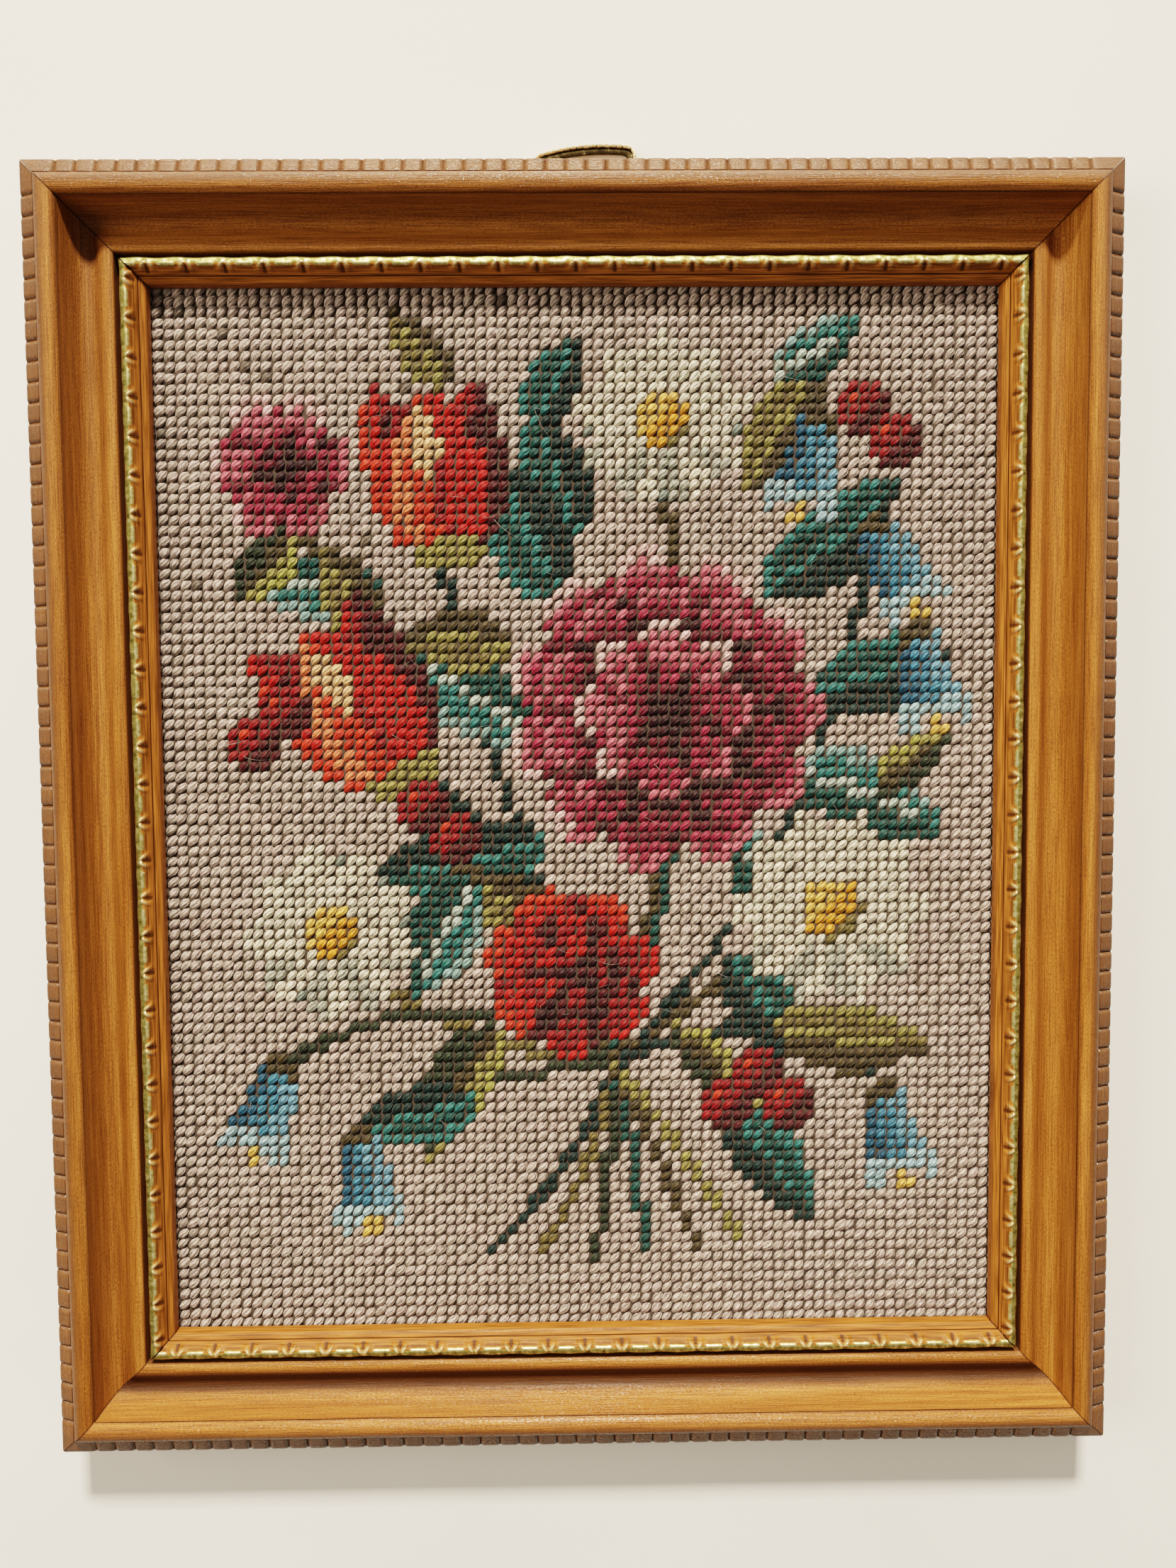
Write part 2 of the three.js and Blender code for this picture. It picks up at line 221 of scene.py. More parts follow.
# The rail's section in mm, as distance in from the outer edge and height.
rail_section = np.vstack(
    [
        [(0, 0), (0, 7), (0, 14.5), (0.05, 15.2), (0.25, 15.65), (0.7, 15.9)],  # outer side
        [(1.7, 16.34), (2.7, 16.78), (3.4, 17.08), (3.6, 16.92), (3.85, 16.98)],  # strip
        [(3.95, 17.4)],
        bezier([(3.95, 17.4), (4.15, 19.4), (6.1, 19.5)], 7),  # shoulder
        bezier([(6.1, 19.5), (7.9, 19.5), (8.6, 18.2)], 6),
        [(8.8, 17.75), (9, 18.2)],  # quirk
        bezier([(9, 18.2), (9.3, 13.6), (10, 8.7), (12.8, 8.7)], 11),  # cove
        bezier([(12.8, 8.7), (14.6, 8.7), (15.4, 11), (17.2, 11)], 7),
        bezier([(17.2, 11), (18.7, 11), (18.8, 10.1)], 5),  # lip
        [(18.8, 7.3), (14.3, 7.3), (14.3, 0), (12.9, 0), (12.9, 0), (0, 0)],  # rebate and back
    ]
)
# Which points of the section each part of the moulding takes.
SIDE, STRIP, STRIP_FOOT, SHOULDER = slice(0, 6), slice(3, 11), slice(9, 12), slice(12, 21)
QUIRK, COVE, LIP_FOOT = slice(24, 27), slice(33, 45), slice(48, 52)
NOTCH_PITCH = 4.6
NOTCH_HALF = 0.8
NOTCH_DEPTH = 0.62
PLAIN_END = 3.9  # mm at each end of a rail without a notch
POCKET = (-11.8, 18.2, 3.6)  # from and to along the top rail, and its depth


def rail_stations(length):
    """Stations along a rail, close together over each notch, with the notches' middles."""
    count = math.floor((length - 2 * PLAIN_END) / NOTCH_PITCH)
    middles = (np.arange(count) - (count - 1) / 2) * NOTCH_PITCH
    offsets = np.array([-1.1, -0.8, -0.5, -0.22, 0, 0.22, 0.5, 0.8, 1.1])
    close = (middles[:, None] + offsets).ravel()
    ends = length / 2 - np.array([0, 0.2, 0.5, 0.9, 1.3, 2.2, 3.2, 4.2, 5.4])
    return np.sort(np.concatenate([close, ends, -ends])), middles


def rail_points(side):
    """The rail's section carried along it. Notches lower the strip's points by (1 - share of the
    half width) ^ 1.5, a V with rounded shoulders, each a little deeper or shallower; the moulded
    faces wander by slow sine waves. The painted shade is 1 at the foot of a groove, where shade
    falls, and 0 on open faces."""
    length = FRAME_SIZE[side % 2]
    stations, middles = rail_stations(length)
    if side == 0:
        edges = np.array(POCKET[:2])
        stations = np.sort(np.concatenate([stations, edges - 1e-6, edges + 1e-6]))
    x = stations[:, None] + np.zeros(len(rail_section))
    inwards, z = (np.tile(part, (len(stations), 1)) for part in rail_section.T)
    nearest = np.argmin(np.abs(stations[:, None] - middles), axis=1)
    off = np.abs(stations - middles[nearest])[:, None]
    cut = chance.uniform(0.8, 1.0, len(middles))[nearest][:, None]
    eased = 0.05 * np.exp(-np.clip(off - NOTCH_HALF, 0, 9) / 0.25)
    drop = cut * NOTCH_DEPTH * np.clip(1 - off / NOTCH_HALF, 0, 1) ** 1.5 + eased
    strip = np.zeros(len(rail_section))
    strip[STRIP] = (0.25, 0.7, 1, 1, 1, 1, 0.7, 0.4)
    z = z - drop * strip
    inwards[:, SIDE] += 0.3 * drop * (strip[SIDE] > 0)
    wander = 0.035 * np.sin(stations / 17 + side) + 0.025 * np.sin(stations / 6.3 + 2 * side)
    point = np.arange(len(strip))
    moulded = (point >= SHOULDER.start) & (rail_section[:, 1] > 8) & (rail_section[:, 1] < 19.3)
    z = z + wander[:, None] * moulded
    if side == 0:
        inside = (stations > POCKET[0]) & (stations < POCKET[1])
        z[:, -2:] = np.where(inside, POCKET[2], 0)[:, None]
        z[:, 0] = z[:, -1]
    # Painted shade, darkest where shade falls: the foot of each notch, the strip's foot, the quirk and the
    # groove at the lip's foot.
    grime = np.clip(drop / NOTCH_DEPTH * 2 - 1.2, 0, 0.4) * (strip > 0.3)
    grime[:, STRIP_FOOT] = np.maximum(grime[:, STRIP_FOOT], (0.4, 0.6, 0.4))
    grime[:, QUIRK] = (0.3, 0.85, 0.3)
    grime[:, LIP_FOOT] = (0.3, 0.8, 1, 1)
    # Painted shade in the coves, strong in the bottom rail's and faint in the others.
    cove_shade = 1.05 if SIDES[side] == "bottom" else 0.1
    grime[:, COVE] = cove_shade * np.array((0.1, 0.5, 0.9, 1, 1, 1, 1, 1, 1, 0.9, 0.6, 0.2))
    x, inwards, joint = mitred(x, inwards, length)
    return stations, to_side(x, inwards, z, side), grime, joint


# Softwood, walnut-stained and varnished: streaks of darker late wood run along each rail, the
# varnish glints in strokes between the pores, and the outer edges are browned by handling. The
# streaks are 2.5 mm wide, the grain 0.3 mm and the pores 0.3 by 0.7 mm, coarser than real ones so
# that they show.
BLEND = {"data_type": "RGBA"}
TINT = {"data_type": "RGBA", "blend_type": "MULTIPLY"}
varnished, tree = new_material("stained_varnished_softwood")
place = add(tree, "UVMap", {"uv_map": "UVMap"})
worn = add(tree, "Attribute", {"attribute_name": "worn"})
grime = add(tree, "Attribute", {"attribute_name": "grime"})
joint = add(tree, "Attribute", {"attribute_name": "joint"})
broad = add(tree, "Mapping", inputs={0: place.outputs[0], "Scale": (0.4, 0.01, 1)})
streak = add(
    tree,
    "TexNoise",
    inputs={"Vector": broad.outputs[0], "Scale": 1, "Detail": 4, "Roughness": 0.6, "Distortion": 0.4},
)
close = add(tree, "Mapping", inputs={0: place.outputs[0], "Scale": (3.4, 0.07, 1)})
grain = add(tree, "TexNoise", inputs={"Vector": close.outputs[0], "Scale": 1, "Detail": 4, "Roughness": 0.7})
short = add(tree, "Mapping", inputs={0: place.outputs[0], "Scale": (3.6, 1.5, 1)})
pores = add(tree, "TexNoise", inputs={"Vector": short.outputs[0], "Scale": 1, "Detail": 4, "Roughness": 0.8})
stain = add(
    tree,
    "ValToRGB",
    inputs={0: streak.outputs[0]},
    stops=((0.28, "#864d17"), (0.74, "#c07f40"), (0.52, "#a2662b")),
)
line = add(tree, "ValToRGB", inputs={0: grain.outputs[0]}, stops=((0.38, "#86705c"), (0.56, "#ffffff")))
fleck = add(tree, "ValToRGB", inputs={0: pores.outputs[0]}, stops=((0.38, "#6f5a48"), (0.58, "#ffffff")))
lined = add(tree, "Mix", TINT, {0: 0.6, 6: stain.outputs[0], 7: line.outputs[0]})
wood = add(tree, "Mix", TINT, {0: 0.6, 6: lined.outputs[2], 7: fleck.outputs[0]})
handled = add(tree, "Mix", BLEND, {0: worn.outputs["Fac"], 6: wood.outputs[2], 7: linear("#4e2f16")})
seam = add(tree, "MapRange", inputs={0: joint.outputs["Fac"], 1: 0.05, 2: 0.3, 3: 0.9, 4: 0})
# The painted shade and the darkened mitre joints both pull the wood towards a deep brown.
shade_and_seam = add(tree, "Math", {"operation": "MAXIMUM"}, {0: grime.outputs["Fac"], 1: seam.outputs[0]})
dark = add(tree, "Math", {"operation": "MULTIPLY", "use_clamp": True}, {0: shade_and_seam.outputs[0], 1: 0.85})
shaded_wood = add(tree, "Mix", BLEND, {0: dark.outputs[0], 6: handled.outputs[2], 7: linear("#2a1505")})
sealed = add(tree, "MapRange", inputs={0: pores.outputs[0], 1: 0.46, 2: 0.62, 3: 0, 4: 0.9})
buffed = add(
    tree,
    "Math",
    {"operation": "MULTIPLY_ADD", "use_clamp": True},
    {0: worn.outputs["Fac"], 1: 0.08, 2: sealed.outputs[0]},
)
polish = add(tree, "MapRange", inputs={0: dark.outputs[0], 1: 0, 2: 0.8, 3: buffed.outputs[0], 4: 0.04})
brushed = add(tree, "Bump", inputs={"Strength": 1, "Distance": 0.00018, "Height": grain.outputs[0]})
relief = add(
    tree,
    "Bump",
    inputs={"Strength": 0.8, "Distance": 0.00015, "Height": pores.outputs[0], "Normal": brushed.outputs[0]},
)
shader = add(
    tree,
    "BsdfPrincipled",
    inputs={
        "Base Color": shaded_wood.outputs[2],
        "Roughness": 0.5,
        "Normal": relief.outputs[0],
        "Specular IOR Level": 0.25,
        "Coat Weight": polish.outputs[0],
        "Coat Roughness": 0.17,
        "Coat Normal": brushed.outputs[0],
    },
)
add(tree, "OutputMaterial", inputs={0: shader.outputs[0]})

for side, where in enumerate(SIDES):
    stations, points, grime, joint = rail_points(side)
    around = girth(rail_section)
    uv = np.stack(np.meshgrid(around, stations + 400 * side), -1)
    edges = np.zeros(len(rail_section))
    edges[STRIP.start : SHOULDER.start] = (1, 1, 1, 0.9, 0.9, 0.9, 0.8, 0.8, 0.8)
    edges[SHOULDER] = (0.9, 0.9, 0.9, 0.9, 0.9, 0.8, 0.6, 0.3, 0.1)
    worn = edges * (0.8 + 0.2 * chance.random(len(stations)))[:, None]
    rail = lofted("rail_" + where + "_moulding", points, uv, worn=worn, grime=grime, joint=joint)
    rail.data.materials.append(varnished)
    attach(rail, "root")
    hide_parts("rail_" + where)

# Inner slips.
# Four thin slips between the rails and the canvas: a round laid with brass-coloured leaf, then a
# stained slope stamped every 9 mm with a pair of small leaves, an incised line and a fillet.

# The slip's section in mm, as distance in from the frame's outer edge and height.
slip_section = np.vstack(
    [
        [(14.6, 5.3), (14.6, 7), (20.1, 7), (20.1, 9), (20.1, 10.6)],  # back edge in the rebate
        bezier([(20.1, 10.6), (20.2, 11.4), (21.2, 11.45)], 6),  # gilt round
        bezier([(21.2, 11.45), (22, 11.45), (22.3, 10.95)], 5),
        [(22.6, 10.6), (22.9, 10.23), (23.2, 9.86), (23.45, 9.55), (23.65, 9.3)],  # slope
        [(23.8, 8.85), (23.95, 9.1)],  # incised line
        [(24.4, 8.85), (24.9, 8.5), (25.2, 8.25), (25.3, 7.9), (25.3, 5.3)],  # fillet
    ]
)
ROUND_START, LINE = 4, 21  # points of the section
STAMP = 9.0  # mm from one stamped V to the next


def slip_relief(x, inwards):
    """Height and gilding at (x, distance in). Each stamp is a pair of small leaves that spread
    inwards, plateaus exp(-d^4) whose distance from its middle and width grow with the distance in.
    Between the pairs a soft bar stands up along the gilt round, with a shallow groove above it."""
    along = np.abs((x + STAMP / 2) % STAMP - STAMP / 2)
    deep = inwards - 21.4
    leaves = np.exp(-(((along - 0.55 - 0.62 * deep) / (0.38 + 0.16 * deep)) ** 4))
    leaves = leaves * np.clip((deep + 0.4) / 0.5, 0, 1)
    leaves = leaves * np.clip((23.4 - 0.15 * along - inwards) / 0.3, 0, 1)
    wedge = np.exp(-((along / (0.22 + 0.2 * deep)) ** 2))
    wedge = wedge * np.clip((deep - 0.3) / 0.5, 0, 1) * np.clip((2.1 - deep) / 0.4, 0, 1)
    within = np.clip((along - 2.1) / 0.8, 0, 1)
    within = within * within * (3 - 2 * within)
    bar = within * np.exp(-(((inwards - 21.7) / 0.36) ** 4))
    groove = within * np.exp(-(((inwards - 22.45) / 0.24) ** 2))
    ripple = np.sin(2 * np.pi * x / 3.3) + 0.6 * np.sin(2 * np.pi * x / 1.9 + 1)
    rim = np.exp(-(((inwards - 20.8) / 0.6) ** 2))
    height = 0.42 * leaves - 0.18 * wedge + 0.16 * bar - 0.1 * groove + 0.05 * ripple * rim
    edge = 21.5 + 0.04 * ripple + 0.6 * within
    gilding = np.clip((edge - inwards) / 0.2 + 0.5, 0, 1) * (inwards > 19.9)
    return height, np.maximum(gilding, 0.35 * leaves * np.clip((22.7 - inwards) / 0.8, 0, 1))


# Embossed softwood slip: brass leaf over a yellow ground, dulled olive where it has tarnished and
# bright where it is rubbed, beside the same walnut stain as the rails.
gilt_wood, tree = new_material("stained_wood_with_brass_leaf")
place = add(tree, "UVMap", {"uv_map": "UVMap"})
gilding = add(tree, "Attribute", {"attribute_name": "gilding"})
height = add(tree, "Attribute", {"attribute_name": "height"})
close = add(tree, "Mapping", inputs={0: place.outputs[0], "Scale": (2.4, 0.08, 1)})
grain = add(tree, "TexNoise", inputs={"Vector": close.outputs[0], "Scale": 1, "Detail": 4})
stain = add(tree, "ValToRGB", inputs={0: grain.outputs[0]}, stops=((0.36, "#5a3410"), (0.64, "#945a28")))
blotch = add(
    tree,
    "TexNoise",
    inputs={"Vector": place.outputs[0], "Scale": 0.9, "Detail": 4, "Roughness": 0.7},
)
rub = add(
    tree,
    "Math",
    {"operation": "MULTIPLY_ADD"},
    {0: height.outputs["Fac"], 1: 1.3, 2: blotch.outputs[0]},
)
# Painted shade: the sunk parts of the relief, and the incised line, darken towards a deep brown.
hollow_shade = add(tree, "MapRange", inputs={0: height.outputs["Fac"], 1: -0.12, 2: -0.02, 3: 0.8, 4: 0})
joint = add(tree, "Attribute", {"attribute_name": "joint"})
seam = add(tree, "MapRange", inputs={0: joint.outputs["Fac"], 1: 0.05, 2: 0.3, 3: 0.9, 4: 0})
dark = add(tree, "Math", {"operation": "MAXIMUM"}, {0: hollow_shade.outputs[0], 1: seam.outputs[0]})
leafed = add(
    tree,
    "ValToRGB",
    inputs={0: rub.outputs[0]},
    stops=((0.3, "#5c5426"), (0.78, "#f6e9b0"), (0.56, "#a39a58")),
)
gilt = add(tree, "Mix", BLEND, {0: gilding.outputs["Fac"], 6: stain.outputs[0], 7: leafed.outputs[0]})
colour = add(tree, "Mix", BLEND, {0: dark.outputs[0], 6: gilt.outputs[2], 7: linear("#261204")})
metal = add(tree, "Math", {"operation": "MULTIPLY"}, {0: gilding.outputs["Fac"], 1: 0.85})
gloss = add(tree, "MapRange", inputs={0: rub.outputs[0], 1: 0.35, 2: 0.75, 3: 0.55, 4: 0.3})
relief = add(tree, "Bump", inputs={"Strength": 0.4, "Distance": 0.00012, "Height": blotch.outputs[0]})
shader = add(
    tree,
    "BsdfPrincipled",
    inputs={
        "Base Color": colour.outputs[2],
        "Metallic": metal.outputs[0],
        "Roughness": gloss.outputs[0],
        "Normal": relief.outputs[0],
        "Specular IOR Level": 0.12,
    },
)
add(tree, "OutputMaterial", inputs={0: shader.outputs[0]})

for side, where in enumerate(SIDES):
    length = FRAME_SIZE[side % 2]
    end = length / 2 - slip_section[0, 0]
    stamps = np.arange(-math.ceil(end / STAMP), math.ceil(end / STAMP) + 1) * STAMP
    offsets = np.array([-3.6, -2.85, -2.4, -2.1, -1.8, -1.5, -1.2, -0.9, -0.6, -0.3])
    stations = (stamps[:, None] + np.concatenate([offsets, [0, STAMP / 2], -offsets])).ravel()
    stations = np.unique(np.clip(stations, -end, end).round(6))
    x = stations[:, None] + np.zeros(len(slip_section))
    inwards, z = (np.tile(part, (len(stations), 1)) for part in slip_section.T)
    height, gilding = slip_relief(x, inwards)
    point = np.arange(len(slip_section))
    height = height * ((point > ROUND_START) & (point < LINE))
    gilding = gilding * (point >= ROUND_START)
    inwards = inwards + 0.1 * np.sin(2 * np.pi * x / STAMP + side) * (inwards > 20) * (inwards < 20.6)
    # The relief raises the section; the incised line's height is set lower still so that it is painted dark,
    # painted shade in the line.
    z, height = z + height, height - 0.2 * (point == LINE)
    x, inwards, joint = mitred(x, inwards, length)
    uv = np.stack(np.meshgrid(girth(slip_section), stations + 400 * side), -1)
    points = to_side(x, inwards, z, side)
    slip = lofted("slip_" + where + "_gilt", points, uv, gilding=gilding, height=height, joint=joint)
    slip.data.materials.append(gilt_wood)
    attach(slip, "root")
    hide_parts("slip_" + where)

# Canvas.
# Cotton needlepoint canvas of ten holes to the inch, stretched flat behind the slips. Wool covers
# it, so only its shaded threads show between the stitches, with the long yarns of the reverse.

PITCH = (2.54, 2.56)  # mm between the holes, across and up
COLUMNS, ROWS = 83, 103
SHEET_SIZE = (221.8, 272.4)
sheet_low, sheet_high = 2.0, 3.9  # heights of the canvas's back and face


def canvas_rise(x, y):
    """How far the sheet stands out of true: two slow crossed sine waves, still at the margin."""
    edge = np.minimum(SHEET_SIZE[0] / 2 - np.abs(x), SHEET_SIZE[1] / 2 - np.abs(y))
    free = np.clip((edge - 12) / 25, 0, 1)
    free = free * free * (3 - 2 * free)
    waves = 0.6 * np.sin(2 * np.pi * (x / 195 + y / 270)) + 0.4 * np.sin(2 * np.pi * (-x / 145 + y / 145))
    return 0.22 * free * waves


across = np.linspace(-0.5, 0.5, 88) * SHEET_SIZE[0]
upwards = np.linspace(-0.5, 0.5, 107) * SHEET_SIZE[1]
x, y = np.meshgrid(across, upwards)
rise = canvas_rise(x, y)
# Each station runs across the face and returns along the back, so one grid makes the closed sheet.
loop_x, loop_y = np.hstack([x, x[:, ::-1]]), np.hstack([y, y[:, ::-1]])
loop_z = np.hstack([sheet_high + rise, sheet_low + rise[:, ::-1]])
points = np.stack([loop_x, loop_y + frame_y, loop_z], -1)
uv = np.dstack([np.hstack([loop_x, loop_x[:, :1]]), np.hstack([loop_y, loop_y[:, :1]])])
canvas = lofted("canvas_mono_cotton", points[::-1], uv[::-1])

# Stiffened cotton mono canvas, an open weave of single threads, matt, each hole a dark dot. It is
# ecru, but painted a dark brown: painted shade for the shade that the yarn on it throws.
cotton, tree = new_material("mono_canvas_cotton")
place = add(tree, "UVMap", {"uv_map": "UVMap"})
cells = add(tree, "Mapping", inputs={0: place.outputs[0], "Scale": (1 / PITCH[0], 1 / PITCH[1], 1)})
ONE_BAND = 0.31416  # the wave's scale for one band to each cell, 2 pi / 20
warp = add(tree, "TexWave", {"bands_direction": "X"}, {"Vector": cells.outputs[0], "Scale": ONE_BAND})
weft = add(tree, "TexWave", {"bands_direction": "Y"}, {"Vector": cells.outputs[0], "Scale": ONE_BAND})
threads = add(tree, "Math", {"operation": "MAXIMUM"}, {0: warp.outputs["Fac"], 1: weft.outputs["Fac"]})
lint = add(tree, "TexNoise", inputs={"Vector": place.outputs[0], "Scale": 3, "Detail": 3})
shade = add(tree, "ValToRGB", inputs={0: threads.outputs[0]}, stops=((0.2, "#1d1610"), (0.9, "#40342a")))
patchy = add(tree, "Mix", TINT, {0: 0.5, 6: shade.outputs[0], 7: lint.outputs[1]})
relief = add(tree, "Bump", inputs={"Strength": 0.8, "Distance": 0.0003, "Height": threads.outputs[0]})
shader = add(
    tree,
    "BsdfPrincipled",
    inputs={"Base Color": patchy.outputs[2], "Roughness": 0.95, "Normal": relief.outputs[0]},
)
add(tree, "OutputMaterial", inputs={0: shader.outputs[0]})
canvas.data.materials.append(cotton)
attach(canvas, "root")
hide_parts("canvas_panel")

# The charted bouquet.
# What the maker would read from a chart: the number of a wool for each stitch, on a plain ground.
# Every motif is drawn by its own formula, and a later one covers those before it.

WOOLS = {
    "ground": "#cdb8ac",
    "speck": "#6f6257",
    "teal_dark": "#0a2a29",
    "teal": "#124642",
    "teal_mid": "#2c716e",
    "teal_pale": "#84aaa8",
    "mint": "#b9cbc0",
    "bottle": "#24301f",
    "olive_dark": "#463c22",
    "olive": "#6e6236",
    "moss": "#8f8748",
    "lime": "#a9a650",
    "blue_dark": "#1f526e",
    "blue": "#3d7d9b",
    "blue_mid": "#6ba3bd",
    "blue_pale": "#a3cad6",
    "orange": "#e29a2c",
    "amber": "#f2c05c",
    "claret": "#320512",
    "burgundy": "#640f26",
    "rose": "#9a2440",
    "pink": "#cb6273",
    "blush": "#efc3bf",
    "maroon": "#4a0814",
    "crimson": "#8c0b16",
    "red": "#c3130e",
    "vermilion": "#da3318",
    "salmon": "#ef7f52",
    "peach": "#f8c58c",
    "cream": "#f4ead0",
    "ivory": "#e2d9c2",
    "stone": "#b5b6a6",
    "slate": "#7c8a80",
}
SHADE = {name: number for number, name in enumerate(WOOLS)}

column, row = np.meshgrid(np.arange(COLUMNS), np.arange(ROWS))
ACROSS = column - (COLUMNS - 1) / 2  # stitches right of the middle
UP = row - (ROWS - 1) / 2
chart = np.zeros((ROWS, COLUMNS), int)


def work(mask, wool):
    """Works the stitches of the mask in one wool."""
    chart[mask] = SHADE[wool]


def standing(x, y, turn):
    """Distances along and across a motif that grows from (x, y), its axis turned clockwise from up."""
    t = math.radians(turn)
    dx, dy = ACROSS - x, UP - y
    return dx * math.sin(t) + dy * math.cos(t), dx * math.cos(t) - dy * math.sin(t)


def leaf(x, y, turn, length, width, wools, bend=0, fullest=0.45):
    """A pointed leaf, widest at a share of its length, bent sideways by the square of the distance.
    wools are its dark half, its light half, its vein and its lit edge."""
    along, off = standing(x, y, turn)
    t = along / length
    off = off - bend * t**2
    power = math.log(0.5) / math.log(fullest)
    half = width / 2 * np.sin(np.pi * np.clip(t, 0, 1) ** power) ** 0.8
    blade = (t > 0) & (t < 1) & (np.abs(off) <= half)
    dark, light, vein, edge = wools
    work(blade & (off >= 0), dark)
    work(blade & (off < 0), light)
    work(blade & (off < -0.62 * half) & (half > 1.4), edge)
    work(blade & (np.abs(off) < 0.5) & (t < 0.8) & (half > 1.1), vein)


def stem(points, wool, width):
    """A stem, one or two stitches thick, on a curve from its start to its end drawn by its pull."""
    for x, y in bezier(points, 90):
        work(np.hypot(ACROSS - x, UP - y) < width, wool)


def dahlia(x, y, layers, wools):
    """Rings of petals laid over one another, outermost first: each has its radius, its number of
    petals, its turn and how much deeper it is dyed. Its rim is a round with lobes, radius
    (0.8 + 0.2 lobe ^ 0.7), and its wool darkens inwards from the lit tips, in the clefts and on the
    side away from the light."""
    dx, dy = ACROSS - x, UP - y
    r, angle = np.hypot(dx, dy), np.arctan2(dy, dx)
    shaded = np.cos(angle - math.radians(-50)) > 0.2
    for radius, petals, turn, deeper in layers:
        lobe = np.abs(np.cos(petals * (angle - math.radians(turn)) / 2))
        rim = radius * (0.8 + 0.2 * lobe**0.7)
        inside = r < rim
        depth = (rim - r) / 1.3 + 2 * (lobe < 0.42) + shaded + deeper
        tone = np.clip(depth.astype(int), 0, len(wools) - 1)
        for k, wool in enumerate(wools):
            work(inside & (tone == k), wool)


def tulip(x, y, turn, length, width):
    """A closed tulip: two outer petals behind, one in front, flamed with lighter wool at the tip."""
    leaf(x, y, turn - 17, length, width * 0.72, ("crimson", "red", "maroon", "vermilion"), fullest=0.4)
    leaf(x, y, turn + 17, length * 0.96, width * 0.72, ("maroon", "crimson", "maroon", "red"), fullest=0.4)
    leaf(x, y, turn, length * 0.9, width * 0.8, ("red", "vermilion", "crimson", "salmon"), fullest=0.42)
    along, off = standing(x, y, turn)
    t = along / length
    flame = np.abs(off + 0.8) < 1.5 * np.sin(np.pi * np.clip((t - 0.42) / 0.4, 0, 1))
    work(flame & (t > 0.42) & (t < 0.8), "peach")
    work((np.abs(t - 0.05) < 0.07) & (np.abs(off) < width * 0.26), "moss")


def daisy(x, y, radius, petals, turn):
    """Cream petals round an orange eye, parted by grey clefts and stone-coloured lower down."""
    dx, dy = ACROSS - x, UP - y
    r, angle = np.hypot(dx, dy), np.arctan2(dy, dx)
    beat = petals * (angle - math.radians(turn)) / (2 * math.pi)
    off = (beat - np.round(beat)) * 2 * math.pi / petals * r
    half = 0.3 * radius * np.sin(np.pi * np.clip(r / radius, 0, 1) ** 1.3) ** 0.6
    petal = (r < radius) & (np.abs(off) < half)
    work((r < radius * 0.84) & (r > radius * 0.2), "slate")
    work(petal, "ivory")
    work(petal & (off > -0.2 * half), "cream")
    work(petal & (dy < -0.35 * radius) & (off < 0), "stone")
    work(r < radius * 0.3, "orange")
    work((r < radius * 0.3) & (dx - dy < -0.4), "amber")
    work((r < radius * 0.32) & (dx - dy > radius * 0.24), "olive")


def bell(x, y, turn, length, width):
    """A bellflower: a round crown that flares to a mouth with three points."""
    along, off = standing(x, y, turn)
    t = along / length
    half = width / 2 * (0.5 + 0.5 * np.clip(t, 0, 1) ** 1.6)
    mouth = 0.86 + 0.16 * np.abs(np.cos(1.5 * np.pi * np.clip(off / half, -1, 1)))
    cup = (t > 0) & (t < mouth) & (np.abs(off) <= half)
    work(cup, "blue")
    work(cup & (off < -0.25 * half), "blue_mid")
    work(cup & (off > 0.45 * half), "blue_dark")
    work(cup & (t > 0.72), "blue_pale")
    work((np.abs(t - 0.97) < 0.1) & (np.abs(off) < 0.6), "amber")
    work((np.abs(t + 0.02) < 0.1) & (np.abs(off) < 1.3), "olive_dark")


def berry(x, y):
    """A round berry lit from the upper left."""
    r = np.hypot(ACROSS - x, UP - y)
    work(r < 2.3, "maroon")
    work((r < 2.3) & (UP - ACROSS > y - x - 1), "crimson")
    work((r < 1.6) & (UP - ACROSS > y - x + 1), "vermilion")


TEAL_LEAF = ("teal_dark", "teal", "teal_mid", "teal_mid")
PALE_LEAF = ("teal", "teal_mid", "mint", "teal_pale")
OLIVE_LEAF = ("olive_dark", "olive", "moss", "moss")
GRASS_LEAF = ("bottle", "moss", "olive_dark", "lime")
GATHER = (3, -24)  # where the stems cross

# Each stem's pull and end, in stitches from the middle, its wool and half its width.
THIN, STOUT = 0.55, 0.9
for pull, end, wool, width in (
    ((-2, -6), (-15, 4), "teal_dark", THIN),
    ((-10, 6), (-13, 25), "teal_dark", THIN),
    ((-20, 10), (-27, 30), "olive_dark", THIN),
    ((8, -8), (10, 6), "teal", STOUT),
    ((12, 6), (8, 32), "olive_dark", THIN),
    ((24, -4), (28, 28), "teal_dark", THIN),
    ((16, -14), (23, -9), "olive_dark", THIN),
    ((-14, -22), (-24, -12), "olive", THIN),
    ((-12, -14), (-28, -23), "bottle", THIN),
    ((-8, -24), (-22, -30), "bottle", THIN),
    ((18, -16), (29, -26), "teal_dark", THIN),
    ((1, -32), (-9, -42), "teal_dark", THIN),
    ((2, -32), (-4, -42), "olive", THIN),
    ((3, -33), (1, -43), "bottle", THIN),
    ((5, -32), (6, -42), "teal", THIN),
    ((7, -32), (11, -42), "olive_dark", THIN),
    ((9, -31), (15, -41), "moss", THIN),
):
    stem([GATHER, pull, end], wool, width)

